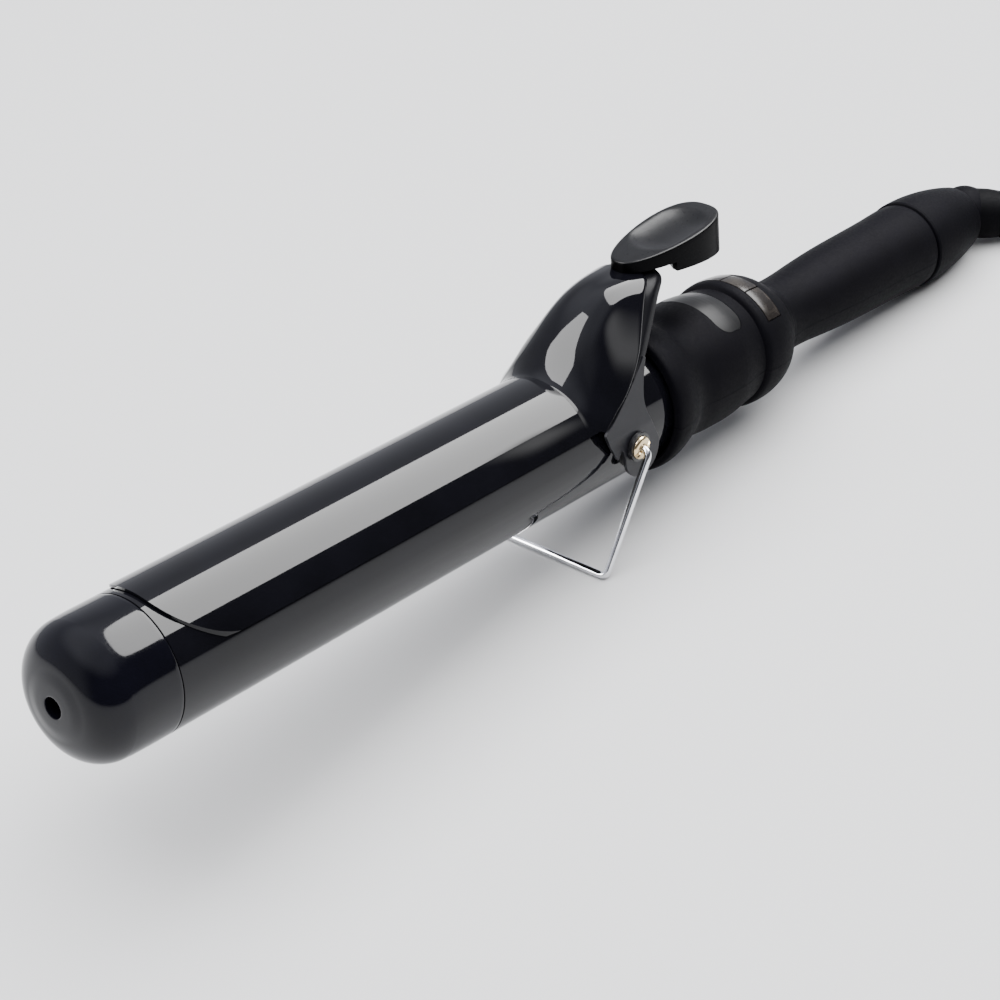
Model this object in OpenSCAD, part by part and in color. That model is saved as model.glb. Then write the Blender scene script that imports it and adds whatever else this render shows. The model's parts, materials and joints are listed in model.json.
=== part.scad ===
// Hair curling iron: a heated barrel with a spring clamp, a wire stand, a collar with a display
// and three push buttons, a handle and a swivelling cord with its plug.
// Every sub-part is drawn in the iron's own frame: the barrel's axis is X, the tip is at x = 0,
// the thumb rest is up (+Z) and the clamp turns about Y. posed() then stands the iron on its
// wire stand and its tail, so z = 0 is the table and X, Y are centred on the iron.

/* [Barrel] */
// Outer diameter of the heated barrel
barrel_d = 38; // [25:0.5:50]
// Wall of the barrel tube
barrel_wall = 1; // [0.6:0.1:2]
// Length of the cool tip cap
cap_len = 24.7; // [15:0.1:40]
// Where the barrel ends, inside the collar
barrel_end = 222; // [200:1:230]
// Diameter of the screw hole in the tip
tip_hole_d = 5.7; // [3:0.1:8]

/* [Clamp] */
// Thickness of the clamp's sheet
clamp_wall = 0.65; // [0.4:0.05:1.2]
// Gap between the closed clamp and the barrel
clamp_gap = 0.25; // [0.1:0.05:1]
// Where the clamp's rounded front starts
clamp_start = 26.7; // [25:0.1:40]
// Length of the rounded front
nose_len = 22; // [10:0.5:40]
// Half of the angle that the clamp wraps round the barrel
wrap_half = 66; // [40:1:85]
// Where the clamp turns up into the lever
crease_x = 180; // [150:1:185]
// Thickness of the lever's sheet
lever_wall = 0.8; // [0.5:0.1:1.5]
// Height of the lever's top, above the barrel's axis
lever_top = 40; // [30:0.1:50]

/* [Thumb rest] */
// Where the thumb rest starts
rest_x = 210.4; // [195:0.1:220]
// Length of the thumb rest
rest_len = 41.6; // [30:0.1:60]
// Width of the thumb rest
rest_w = 18.2; // [10:0.1:24]
// Height of the middle of its top, above the barrel's axis
rest_top = 46.6; // [40:0.1:55]
// Slope of its top, up towards the rear
rest_slope = 6.4; // [0:0.1:15]

/* [Pivot] */
// Where the clamp and the stand pivot, along the barrel
pivot_x = 194; // [185:0.5:205]
// Distance from the barrel's axis to the inner face of an ear
ear_in = 20.3; // [19.5:0.1:23]
// Inward lean of an ear's upper part
ear_lean = 12; // [0:1:20]
// Thickness of an ear
ear_t = 1; // [0.6:0.1:2]

/* [Stand] */
// Diameter of the stand's wire
wire_d = 2.2; // [1.5:0.1:4]
// Distance from the pivot to the stand's crossbar
stand_reach = 38.5; // [25:0.5:60]
// Lean of the open stand towards the tip
stand_lean = 21.3; // [0:0.1:45]
// Half of the width between the wire's centres, at the crossbar
stand_half = 22.5; // [20:0.1:30]
// Half of the width between the wire's centres, at the pivot
stand_top_half = 26.1; // [22:0.1:32]

/* [Handle] */
// Where the collar starts
collar_x = 212.6; // [205:0.1:230]
// Where the handle ends and the tail cap starts
handle_end = 360; // [320:1:380]
// Turn of the display, the buttons and the housing's parting line towards one side
face_turn = 6; // [0:1:15]
// Where the push buttons start, along the iron
button_x = 263.6; // [262:0.1:266]
// Width of the push buttons, along the iron
button_w = 6.4; // [4:0.1:8]

/* [Cord] */
// Outer diameter of the mains cord
cord_d = 6.5; // [4:0.1:9]
// Diameter of the ball that the strain relief leaves from
ball_d = 18; // [12:0.2:20]

/* [Hidden] */
$fn = 96;

barrel_r = barrel_d / 2;
bore_r = barrel_r - barrel_wall;
clamp_in = barrel_r + clamp_gap;
clamp_out = clamp_in + clamp_wall;
wire_r = wire_d / 2;
shank_r = 1.9;
neck_r = 2.5;
fit_gap = 0.06;
ball_x = 398;

// The tail cap's lower side is an arc of this radius, and it is what touches the table.
tail_arc = 100;
tail_arc_x = 364;
tail_r = 14.5;
foot_x = pivot_x - stand_reach * sin(stand_lean);
foot_z = -stand_reach * cos(stand_lean);
// The line that touches the crossbar and the tail's arc from below gives the tilt and the height.
span_x = tail_arc_x - foot_x;
span_z = tail_arc - tail_r - foot_z;
tilt = atan2(span_z, span_x) - asin((tail_arc - wire_r) / norm([span_x, span_z]));
lift = foot_x * sin(tilt) - foot_z * cos(tilt) + wire_r;
centre_x = 201.9;
screw_x = [300, 348];
rest_screw_x = [213, 216.6];

// Outline of the collar, the button ring and the handle, as [radius, x].
housing_line = [[20.6, collar_x], [22.1, collar_x + 0.9], [22.5, collar_x + 3], [22.2, 219],
    [21, 223.4], [19.6, 227.2], [19.2, 231], [19.6, 236], [19.8, 242], [19.7, 249], [18.9, 255],
    [18.4, 259.4]];
ring_line = [[18.4, 259.6], [19.3, 260.4], [19.8, 262], [19.9, 266], [19.4, 270], [18.2, 273.8],
    [16.2, 277.2], [13.8, 280.2], [12.3, 283]];
grip_line = [[11.9, 284.6], [11.5, 290.5], [11.7, 298], [12.2, 305], [12.8, 314], [13.2, 324],
    [13.4, 335], [13.6, 346], [14, 356], [13.9, handle_end]];

// Route of the cord's loose stretch, on the table, in the posed frame.
cord_route = [[222, -30, 4.6], [226, -34.9, 4], [231, -40, 3.6], [237, -45, 3.4], [244, -49.4, 3.4],
    [252, -53, 3.4], [261, -55.6, 3.5], [271, -57, 3.8], [283, -57.5, 4.3], [300, -57.5, 4.6]];
hank_x = 300;
hank_run = 86.8;
hank_y = -31.5;
hank_z = 1.2;
hank_w = 9 * cord_d;
hank_h = 3 * cord_d;
plug_x = 320;
plug_y = hank_y - 3 * cord_d;
plug_z = hank_z + hank_h;

// A point of a Catmull-Rom curve through pts, for t from 0 to 1.
function bend(p, t) = 0.5 * (2 * p[1] + (p[2] - p[0]) * t
    + (2 * p[0] - 5 * p[1] + 4 * p[2] - p[3]) * t * t
    + (3 * p[1] - p[0] - 3 * p[2] + p[3]) * t * t * t);
function at(pts, i) = i < 0 ? 2 * pts[0] - pts[1]
    : i > len(pts) - 1 ? 2 * pts[len(pts) - 1] - pts[len(pts) - 2] : pts[i];
function along(pts, t) = let(k = min(floor(t * (len(pts) - 1)), len(pts) - 2))
    bend([for (j = [-1:2]) at(pts, k + j)], t * (len(pts) - 1) - k);
function smooth(pts, steps) = [for (i = [0:steps]) along(pts, i / steps)];
function unit(v) = v / norm(v);
function arc(c, r, from, to, steps) = [for (i = [0:steps])
    let(a = from + (to - from) * i / steps) [c[0] + r * cos(a), c[1] + r * sin(a)]];

// The way through a list of points in a plane, with its corners rounded to a radius.
function turn_at(pts, i) = let(a = pts[i] - pts[i - 1], b = pts[i + 1] - pts[i])
    atan2(a[0] * b[1] - a[1] * b[0], a * b);
function rounded(pts, r, steps) = [[each pts[0], 0], for (i = [1:len(pts) - 2])
    let(turn = turn_at(pts, i), before = unit(pts[i] - pts[i - 1]), side = sign(turn),
        centre = pts[i] - r * tan(abs(turn) / 2) * before + r * side * [-before[1], before[0]],
        from = atan2(before[1], before[0]) - 90 * side)
    for (p = arc(centre, r, from, from + turn, steps)) [each p, 0], [each pts[len(pts) - 1], 0]];

// A closed tube of the given radius, swept along the points, with its first and last directions.
module tube(pts, r, sides, first, last) {
    n = len(pts);
    way = function (i) i == 0 && !is_undef(first) ? first : i == n - 1 && !is_undef(last) ? last
        : unit(pts[min(i + 1, n - 1)] - pts[max(i - 1, 0)]);
    rings = [for (i = [0:n - 1]) let(d = way(i), s = unit(cross([0, 0, 1], d)), t = cross(d, s))
        for (k = [0:sides - 1]) pts[i] + r * (cos(360 * k / sides) * s + sin(360 * k / sides) * t)];
    walls = [for (i = [0:n - 2]) for (k = [0:sides - 1])
        let(m = (k + 1) % sides, a = i * sides, b = a + sides)
        each [[a + k, a + m, b + k], [a + m, b + m, b + k]]];
    caps = [[for (k = [sides - 1:-1:0]) k], [for (k = [0:sides - 1]) (n - 1) * sides + k]];
    polyhedron(rings, concat(walls, caps), convexity = 6);
}

module posed() {
    translate([-centre_x, 0, lift]) rotate([0, tilt, 0]) children();
}

// Spins an outline of [radius, x] points about the barrel's axis.
module spun(line) {
    rotate([0, 90, 0]) rotate_extrude() polygon(line);
}

// A round bar along X, from x0 to x1.
module bar_x(r, x0, x1) {
    translate([x0, 0, 0]) rotate([0, 90, 0]) cylinder(r = r, h = x1 - x0);
}

// A round bar along Y at the pivot, on both sides or on one, from y0 to y1 out from the middle.
module bar_y(r, y0, y1, sides = [-1, 1]) {
    for (side = sides) translate([pivot_x, side * y0, 0]) rotate([side > 0 ? -90 : 90, 0, 0])
        cylinder(r = r, h = y1 - y0, $fn = 48);
}

// A block from one corner to the other.
module block(a, b) {
    translate(a) cube(b - a);
}

// The space inside the part of a ring between two angles from the top, from x0 to x1.
module wedge(a0, a1, x0, x1) {
    outline = concat([[0, 0]], [for (i = [0:12]) let(a = a0 + (a1 - a0) * i / 12)
        [30 * cos(a), 30 * sin(a)]]);
    translate([x0, 0, 0]) rotate([0, 90, 0]) rotate([0, 0, 180]) linear_extrude(x1 - x0) polygon(outline);
}

module barrel_tube() {
    color([0.05, 0.05, 0.06]) difference() {
        bar_x(barrel_r, cap_len, barrel_end);
        bar_x(bore_r, cap_len - 1, barrel_end + 1);
        bar_y(shank_r, 10, 25);
    }
}

module tip_cap() {
    dome = concat([[0, 0], [5, 0.15], [8.2, 0.8]], arc([8.2, 11.4], 10.6, -82, -8, 14),
        [[barrel_r, cap_len - 2], [barrel_r, cap_len], [bore_r, cap_len], [bore_r, cap_len + 7],
        [bore_r - 2, cap_len + 7], [bore_r - 2, cap_len], [bore_r - 4, 8], [5.4, 3.4], [0, 3.4]]);
    color([0.04, 0.04, 0.05]) difference() {
        union() {
            spun(dome);
            bar_x(4.6, 3, 14);
        }
        bar_x(tip_hole_d / 2, -1, 7);
        bar_x(1.25, 6, 15);
    }
}

module tip_screw() {
    color([0.5, 0.5, 0.52]) difference() {
        union() {
            bar_x(2.4, 5, 6.95);
            bar_x(1.2, 6.5, 17);
        }
        block([4, -1.6, -0.3], [5.8, 1.6, 0.3]);
        block([4, -0.3, -1.6], [5.8, 0.3, 1.6]);
    }
}

module heater_carriers() {
    color([0.7, 0.7, 0.72]) for (side = [-1, 1]) difference() {
        bar_x(bore_r - 0.05, 48, 140);
        bar_x(bore_r - 2, 47, 141);
        block([47, -20, side > 0 ? -20 : -1.2], [141, 20, side > 0 ? 1.2 : 20]);
    }
    color([0.7, 0.7, 0.72]) for (side = [-1, 1])
        block([50, -15.6, side > 0 ? 1.3 : -2.5], [138, 15.6, side > 0 ? 2.5 : -1.3]);
}

module heater_element() {
    color([0.75, 0.6, 0.3]) block([54, -10, -1.25], [134, 10, 1.25]);
}

module heater_leads() {
    color([0.9, 0.9, 0.88]) for (side = [-1, 1])
        translate([0, side * 3.6, 0]) bar_x(0.9, 134.05, 242.9);
}

module thermistor() {
    color([0.6, 0.2, 0.15]) translate([0, 0, 4.2]) {
        bar_x(1.3, 134.4, 142);
        for (side = [-1, 1]) translate([0, side * 0.6, 0]) bar_x(0.35, 141.9, 243);
    }
}

module thermal_fuse() {
    color([0.8, 0.8, 0.82]) {
        bar_x(2, 150, 160);
        bar_x(0.5, 134.05, 242.9);
    }
}

module barrel_mount() {
    color([0.85, 0.84, 0.8]) difference() {
        union() {
            bar_x(bore_r, 206, barrel_end);
            bar_x(barrel_r, barrel_end, barrel_end + 2.4);
            bar_x(14, barrel_end + 2.3, 236);
        }
        bar_x(10, 205, 237);
        for (side = [-1, 1]) block([232, side * 12 - 3, -20], [237, side * 12 + 3, 20]);
    }
}

module pivot_saddles() {
    color([0.1, 0.1, 0.11]) difference() {
        for (side = [-1, 1]) translate([pivot_x + 2, side * 15, -2]) rotate([side > 0 ? -90 : 90, 0, 0])
            cylinder(r = 6, h = ear_in - 15.3, $fn = 64);
        bar_x(barrel_r, 180, 205);
        bar_y(shank_r, 10, 25);
    }
}

module pivot_rivets() {
    color([0.8, 0.68, 0.42]) difference() {
        union() {
            bar_y(shank_r, 16.6, 23);
            bar_y(2.6, 16.2, 17);
            for (side = [-1, 1]) translate([pivot_x, side * 22.9, 0]) rotate([side > 0 ? -90 : 90, 0, 0])
                cylinder(r1 = 3.4, r2 = 2.7, h = 1, $fn = 48);
        }
        bar_y(wire_r + fit_gap, 10, 30);
    }
}

module pivot_bushes() {
    color([0.03, 0.03, 0.035]) difference() {
        union() {
            bar_y(neck_r, 20, 21.7);
            bar_y(4.2, 21.6, 22.9);
        }
        bar_y(shank_r, 10, 30);
    }
}

// The clamp's outline seen from above: straight sides that curve in to a blunt front.
module clamp_plan() {
    half = 18.4;
    front = [for (i = [0:40]) let(a = 90 + 180 * i / 40, s = sin(a))
        [clamp_start + nose_len + nose_len * cos(a), half * sign(s) * pow(abs(s), 0.64)]];
    polygon(concat([[crease_x, -half], [crease_x, half]], front));
}

module clamp_plate() {
    color([0.05, 0.05, 0.06]) intersection() {
        difference() {
            bar_x(clamp_out, clamp_start - 1, crease_x);
            bar_x(clamp_in, clamp_start - 2, crease_x + 1);
        }
        translate([0, 0, clamp_out * cos(wrap_half)]) linear_extrude(30) clamp_plan();
    }
}

// The lever is a thin shell. It starts on the clamp's arc at the crease and opens out to its rear
// rim, which runs down from under the thumb rest to the lower corner on each side.
rim_line = [[220, 0, lever_top], [220, 4.4, lever_top], [218.6, 8, lever_top - 0.8], [213.6, 10.9, 36.6],
    [206.8, 14.1, 30.4], [199.4, 17.3, 23.4], [192, 19.1, 16.2], [186, 19.6, 11.8], [182.4, 19.2, 8]];
rim_steps = 20;
shell_steps = 14;

// Side to side, u runs from -1 to 1. From crease to rim, v runs from 0 to 1.
function mirrored(p, u) = [p[0], u < 0 ? -p[1] : p[1], p[2]];
function crease_at(u) = let(a = wrap_half * u)
    [crease_x, (clamp_out - 0.05) * sin(a), (clamp_out - 0.05) * cos(a)];
function rim_at(u) = mirrored(along(rim_line, abs(u)), u);
function bezier(a, b, c, d, v) = a * pow(1 - v, 3) + 3 * b * pow(1 - v, 2) * v
    + 3 * c * (1 - v) * v * v + d * v * v * v;
function shell_at(u, v) = let(a = crease_at(u), d = rim_at(u), reach = norm(d - a),
    up = unit([0.53, 0, cos(wrap_half * u)]), back = unit([1, 0.6 * sin(wrap_half * u), 0.02]))
    bezier(a, a + 0.63 * reach * up, d - 0.36 * reach * back, d, v);
function shell_out(u, v) = let(e = 0.01, u0 = min(max(u, -0.99), 0.99), v0 = min(max(v, 0.01), 0.99))
    unit(cross(shell_at(u0, v0 + e) - shell_at(u0, v0 - e), shell_at(u0 + e, v0) - shell_at(u0 - e, v0)));
function shell_point(u, v, depth) = shell_at(u, v) + depth * shell_out(u, v);

// A closed slab between two grids of points with the same rows and columns.
module slab(front, back) {
    rows = len(front);
    cols = len(front[0]);
    n = rows * cols;
    points = concat([for (row = front) for (p = row) p], [for (row = back) for (p = row) p]);
    faces = concat(
        [for (i = [0:rows - 2]) for (j = [0:cols - 2]) let(k = i * cols + j) each
            [[k, k + 1, k + cols], [k + 1, k + cols + 1, k + cols]]],
        [for (i = [0:rows - 2]) for (j = [0:cols - 2]) let(k = n + i * cols + j) each
            [[k, k + cols, k + 1], [k + 1, k + cols, k + cols + 1]]],
        [for (i = [0:rows - 2]) for (j = [0, cols - 1]) let(k = i * cols + j, m = k + cols) each
            (j == 0 ? [[k, m, n + m], [k, n + m, n + k]] : [[k, n + m, m], [k, n + k, n + m]])],
        [for (i = [0, rows - 1]) for (j = [0:cols - 2]) let(k = i * cols + j, m = k + 1) each
            (i == 0 ? [[k, n + m, m], [k, n + k, n + m]] : [[k, m, n + m], [k, n + m, n + k]])]);
    polyhedron(points, faces, convexity = 6);
}

// The holes that the thumb rest's screws pass through.
module screw_holes() {
    for (x = rest_screw_x) translate([x, 0, lever_top - 6]) cylinder(r = 0.95, h = 10, $fn = 24);
}

module lever_shell() {
    grid = function (depth) [for (i = [-rim_steps:rim_steps]) [for (j = [0:shell_steps])
        shell_point(i / rim_steps, j / shell_steps, depth)]];
    color([0.05, 0.05, 0.06]) difference() {
        slab(grid(0), grid(lever_wall));
        screw_holes();
    }
}

// A strap lines the shell's rear rim from inside, and its ends meet the ears.
module lever_strap() {
    reach = 0.63;
    grid = function (depth) [for (i = [-rim_steps:rim_steps])
        let(u = reach * i / rim_steps, side = abs(u), to = unit([0.8, 0, -0.6 * min(1, side * 2.6)]),
            p = shell_point(u, 1, depth))
        [shell_point(u, 0.96, depth), p + 0.6 * to, p + 2.6 * to]];
    color([0.09, 0.09, 0.1]) slab(grid(-1.2), grid(-0.3));
}

// The ears' outline: a lobe round the pivot, a notched front corner and an arm up to the strap.
module ear_plan() {
    polygon(concat([[181, 7.7], [182, 4.6], [186.2, -1.9], [187.6, 1.2]],
        arc([197, -3], 7.5, 178, 380, 24), [[201, 3.4], [199, 9], [199.2, 13], [200.4, 20.4],
        [197.4, 20.4], [191.4, 14.9], [185.2, 10.1], [183, 7.7]]));
}

// One ear: upright round the pivot and leaning inwards above the fold.
module ear() {
    fold = 5;
    translate([0, -ear_in, 0]) rotate([90, 0, 0]) linear_extrude(ear_t) intersection() {
        ear_plan();
        translate([170, -20]) square([50, 20 + fold]);
    }
    translate([0, -ear_in, fold]) rotate([90 - ear_lean, 0, 0]) linear_extrude(ear_t) translate([0, -fold])
        intersection() {
            ear_plan();
            translate([170, fold - 0.15]) square([50, 30]);
        }
}

module lever_ears() {
    color([0.09, 0.09, 0.1]) difference() {
        union() {
            ear();
            mirror([0, 1, 0]) ear();
        }
        bar_y(neck_r + fit_gap, 10, 30);
    }
}

// The thumb rest's outline about its middle, smaller all round by inset and wider to the rear.
module rest_plan(inset) {
    a = rest_len / 2 - inset;
    b = rest_w / 2 - inset;
    polygon([for (i = [0:47]) let(t = 7.5 * i, s = sin(t))
        [a * cos(t), b * sign(s) * pow(abs(s), 0.74) * (1 + 0.18 * cos(t))]]);
}

// Places what is drawn about the middle of the rest's top.
module on_rest() {
    translate([rest_x + rest_len / 2, 0, rest_top]) rotate([0, -rest_slope, 0]) children();
}

module thumb_rest() {
    color([0.035, 0.035, 0.04]) difference() {
        on_rest() difference() {
            translate([0, 0, -13]) linear_extrude(13) rest_plan(0);
            intersection() {
                translate([0, 0, -14]) linear_extrude(10) rest_plan(1.8);
                block([-3, -20, -14], [30, 20, -3]);
            }
            for (x = [-3, 8]) translate([x, 0, 22.7]) sphere(r = 24);
            translate([-3, 0, 22.7]) rotate([0, 90, 0]) cylinder(r = 24, h = 11);
        }
        block([rest_x - 5, -20, 20], [226.4, 20, lever_top + lever_wall + 0.25]);
        translate([220, -20, 28.4]) rotate([0, 3.5, 0]) cube([50, 40, 10.2]);
        for (x = rest_screw_x) translate([x, 0, lever_top - 1]) cylinder(r = 0.9, h = 4.2, $fn = 24);
    }
}

module rest_screws() {
    color([0.5, 0.5, 0.52]) for (x = rest_screw_x) {
        translate([x, 0, lever_top - 3.2]) cylinder(r = 1.6, h = 1.2, $fn = 24);
        translate([x, 0, lever_top - 2.1]) cylinder(r = 0.85, h = 4.8, $fn = 24);
    }
}

// A leaf that bows from the barrel up to the underside of the lever.
module clamp_spring() {
    leaf = smooth([[183, 19.3], [187, 19.28], [191.5, 19.6], [197, 21.4], [202.5, 25.4], [206, 31],
        [208, 36], [208.8, 39.5]], 18);
    upper = [for (p = leaf) p + [0, 0.25]];
    lower = [for (i = [len(leaf) - 1:-1:0]) leaf[i] - [0, 0.25]];
    color([0.55, 0.55, 0.57]) translate([0, 4, 0]) rotate([90, 0, 0]) linear_extrude(8)
        polygon(concat(upper, lower));
}

module stand_wire() {
    route = [[-18, 0], [-stand_top_half, 0], [-stand_half, stand_reach], [stand_half, stand_reach],
        [stand_top_half, 0], [18, 0]];
    color([0.8, 0.8, 0.82]) translate([pivot_x, 0, 0]) rotate([0, stand_lean - 90, 0])
        rotate([0, 0, 90]) tube(rounded(route, 2.4, 8), wire_r, 24);
}

// The whole housing before it is split: collar, button ring and handle.
module housing_body() {
    outer = concat(smooth(housing_line, 44), smooth(ring_line, 30), smooth(grip_line, 30));
    inner = [[9.6, handle_end], [9.4, 330], [9, 300], [9, 288], [9.6, 284], [11.2, 281], [13.4, 277.6],
        [15.4, 274], [16.4, 270], [16.6, 262], [16.6, 227], [barrel_r + 0.05, 224.4],
        [barrel_r + 0.05, 216], [20.2, collar_x]];
    ribs = [[228, 14.05, 16.8], [240, 12.6, 16.8], [258.4, 12.6, 16.8], [304.6, 7.75, 9.3],
        [342.6, 7.75, 9.6]];
    difference() {
        spun(concat(outer, inner));
        lens_block(0.12, 5, 24);
        wedge(-47.4, 47.4, button_x - 0.3, button_x + button_w + 0.3);
    }
    for (rib = ribs) let(x = rib[0], r0 = rib[1], r1 = rib[2])
        spun([[r1, x], [r1, x + 1.6], [r0, x + 1.6], [r0, x]]);
    for (x = screw_x) translate([x, 0, 0]) cylinder(r = 2.6, h = 18.6, center = true, $fn = 32);
}

// Half of the housing, above or below the parting plane, with a hairline gap between the halves.
module housing_half(side) {
    color([0.085, 0.085, 0.09]) rotate([face_turn, 0, 0]) difference() {
        intersection() {
            housing_body();
            block([200, -30, side > 0 ? fit_gap : -30], [400, 30, side > 0 ? 30 : -fit_gap]);
        }
        for (x = screw_x) translate([x, 0, -30]) {
            cylinder(r = 1.25, h = 39, $fn = 32);
            cylinder(r = 2.1, h = 20.4, $fn = 32);
        }
    }
}

module housing_upper() {
    housing_half(1);
}

module housing_lower() {
    housing_half(-1);
}

module housing_screws() {
    color([0.5, 0.5, 0.52]) rotate([face_turn, 0, 0]) for (x = screw_x) difference() {
        translate([x, 0, -11]) {
            cylinder(r = 1.2, h = 19.6, $fn = 32);
            cylinder(r = 2, h = 1.35, $fn = 32);
        }
        block([x - 1.5, -0.25, -12], [x + 1.5, 0.25, -10.4]);
        block([x - 0.25, -1.5, -12], [x + 0.25, 1.5, -10.4]);
    }
}

// The display window's outline, as a block standing up through the collar.
module lens_block(gap, z0, z1) {
    half = 12.6 + gap;
    x0 = 243.6 - gap;
    x1 = 254.4 + gap;
    r = 4;
    corners = [[x1 - r, half - r, 0], [x0 + r, half - r, 90], [x0 + r, r - half, 180],
        [x1 - r, r - half, 270]];
    translate([0, 0, z0]) linear_extrude(z1 - z0)
        polygon([for (c = corners) for (p = arc([c[0], c[1]], r, c[2], c[2] + 90, 8)) p]);
}

module display_lens() {
    line = [for (p = smooth(housing_line, 44)) if (p[1] > 240) [p[0] - 0.05, p[1]]];
    color([0.12, 0.12, 0.13]) rotate([face_turn, 0, 0]) {
        intersection() {
            spun(concat(line, [[17.2, 259], [17.2, 241]]));
            lens_block(0, 5, 24);
        }
        intersection() {
            spun([[17.25, 241], [17.25, 257], [16.65, 257], [16.65, 241]]);
            lens_block(0, 5, 24);
        }
    }
}

module display_panel() {
    color([0.25, 0.27, 0.25]) rotate([face_turn, 0, 0]) {
        block([244, -9, 11.4], [254, 9, 13.2]);
        block([243.5, -9.6, 10.3], [254.5, 9.6, 11.45]);
        for (y = [-8, 8]) block([246, y - 1, 3.65], [252, y + 1, 10.35]);
    }
}

module control_board() {
    color([0.08, 0.3, 0.16]) rotate([face_turn, 0, 0]) block([238.5, -12, 2], [272, 12, 3.6]);
}

module power_board() {
    color([0.08, 0.3, 0.16]) rotate([face_turn, 0, 0]) block([303, -7.4, -2], [345, 7.4, -0.4]);
}

module board_parts() {
    color([0.2, 0.2, 0.22]) rotate([face_turn, 0, 0]) {
        block([243, -4, -1.4], [251, 4, 1.95]);
        block([255, -10, 0.4], [262, -4, 1.95]);
        translate([268, 5, -3]) cylinder(r = 3, h = 4.95, $fn = 32);
        block([308, -5, -0.35], [320, 5, 4.6]);
        translate([330, 0, -0.35]) cylinder(r = 4, h = 6.5, $fn = 32);
        block([337, -6, -0.35], [342, 6, 4]);
    }
}

module switch_carrier() {
    color([0.1, 0.1, 0.11]) rotate([face_turn, 0, 0]) intersection() {
        spun([[13.4, 262], [13.4, 271], [12.2, 271], [12.2, 262]]);
        wedge(-72.5, 72.5, 261, 272);
    }
}

// Middle angle and half of the angle of each button, from the top.
button_angles = [[-30.5, 16], [0, 13], [30.5, 16]];

module button_switches() {
    color([0.15, 0.15, 0.16]) for (b = button_angles) rotate([face_turn + b[0], 0, 0]) {
        block([264.4, -2.2, 13.45], [268.8, 2.2, 15]);
        translate([266.6, 0, 14.9]) cylinder(r = 1, h = 0.9, $fn = 32);
    }
}

// One smoked push button: a length of the ring with a stem over its switch.
module button(index) {
    b = button_angles[index];
    to = button_x + button_w;
    top = [for (p = smooth(ring_line, 60)) if (p[1] > button_x && p[1] < to) p];
    skin = concat([[top[0][0], button_x]], top,
        [[top[len(top) - 1][0] - 0.05, to], [17.4, to], [17.4, button_x]]);
    color([0.2, 0.19, 0.18]) rotate([face_turn, 0, 0]) {
        intersection() {
            spun(skin);
            wedge(b[0] - b[1], b[0] + b[1], 262, 272);
        }
        rotate([b[0], 0, 0]) translate([266.6, 0, 16.5]) cylinder(r = 1.8, h = 1.4, $fn = 32);
    }
}

module button_minus() {
    button(0);
}

module button_power() {
    button(1);
}

module button_plus() {
    button(2);
}

function tail_radius(x) = tail_r - tail_arc + sqrt(tail_arc * tail_arc - pow(x - tail_arc_x, 2));

module tail_cap() {
    outer = concat([[13.4, handle_end + 0.05], [13.4, 361], [14.2, 361.2]],
        [for (i = [0:14]) let(x = 361.8 + 29.4 * i / 14) [tail_radius(x), x]], [[10, 392]]);
    color([0.085, 0.085, 0.09]) spun(concat(outer, [[6, 392], [6, 387], [7.6, 387], [7.6, 379], [6, 379],
        [6, 373], [9, 368], [9, handle_end + 0.05]]));
}

module swivel_contacts() {
    color([0.8, 0.65, 0.35]) for (x = [352, 356.4]) difference() {
        bar_x(9.5, x, x + 1.4);
        bar_x(4.9, x - 1, x + 3);
    }
}

// The swivel: a hollow shaft with a retaining flange in the tail cap, and a ball outside it.
module swivel_ball() {
    color([0.085, 0.085, 0.09]) difference() {
        union() {
            intersection() {
                translate([ball_x, 0, 0]) sphere(r = ball_d / 2);
                bar_x(20, 392.3, 420);
            }
            bar_x(5.94, 386.6, 393);
            bar_x(7.5, 379.2, 386.8);
            bar_x(4.6, 351, 379.3);
        }
        bar_x(3, 350, 394);
    }
}

// Where the strain relief starts and ends, in the posed frame.
relief_from = [ball_x * cos(tilt) - centre_x, 0, lift - ball_x * sin(tilt)];
relief_dir = unit(cord_route[0] - relief_from);
relief_len = norm(cord_route[0] - relief_from);
relief_turn = atan2(relief_dir[1], relief_dir[0]);
relief_drop = acos(relief_dir[2]);

// A bar of changing radius from the ball's middle along the strain relief.
module relief_bar(line) {
    translate(relief_from) rotate([0, relief_drop, relief_turn]) rotate_extrude($fn = 64) polygon(line);
}

module strain_relief() {
    base = ball_d / 2 - 0.7;
    tip = cord_d / 2 + 0.9;
    start = 7.6;
    rib = 3;
    steps = 9;
    radius = function (z) base + (tip - base) * (z - start) / (relief_len - start);
    ribs = [for (i = [0:steps - 1]) let(z = start + 4 + rib * i) each
        [[radius(z), z], [radius(z) - 0.9, z + 0.2], [radius(z) - 0.9, z + 1], [radius(z), z + 1.2]]];
    color([0.06, 0.06, 0.065]) difference() {
        relief_bar(concat([[0, 3], [base, start - 4.4], [base, start]], ribs,
            [[tip, relief_len], [0, relief_len]]));
        translate(relief_from) sphere(r = ball_d / 2 + 0.02);
    }
}

module cord_tube() {
    color([0.05, 0.05, 0.055]) tube(cord_route, cord_d / 2, 12, relief_dir, [1, 0, 0]);
}

// A long outline with round ends, of width w, round the hank's middle line.
module hank_plan(w) {
    for (x = [hank_x, hank_x + hank_run]) translate([x, hank_y]) circle(d = w);
    translate([hank_x, hank_y - w / 2]) square([hank_run, w]);
}

module cord_hank() {
    color([0.05, 0.05, 0.055]) translate([0, 0, hank_z]) linear_extrude(hank_h) hank_plan(hank_w);
}

module cord_tie() {
    middle = hank_x + hank_run * 0.82;
    half = hank_w / 2 + 0.02;
    color([0.1, 0.1, 0.11]) difference() {
        block([middle - 7, hank_y - half - 1.2, 0.1], [middle + 7, hank_y + half + 1.2, plug_z + 1.1]);
        block([middle - 8, hank_y - half, hank_z - 0.02], [middle + 8, hank_y + half, plug_z + 0.02]);
    }
}

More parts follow.
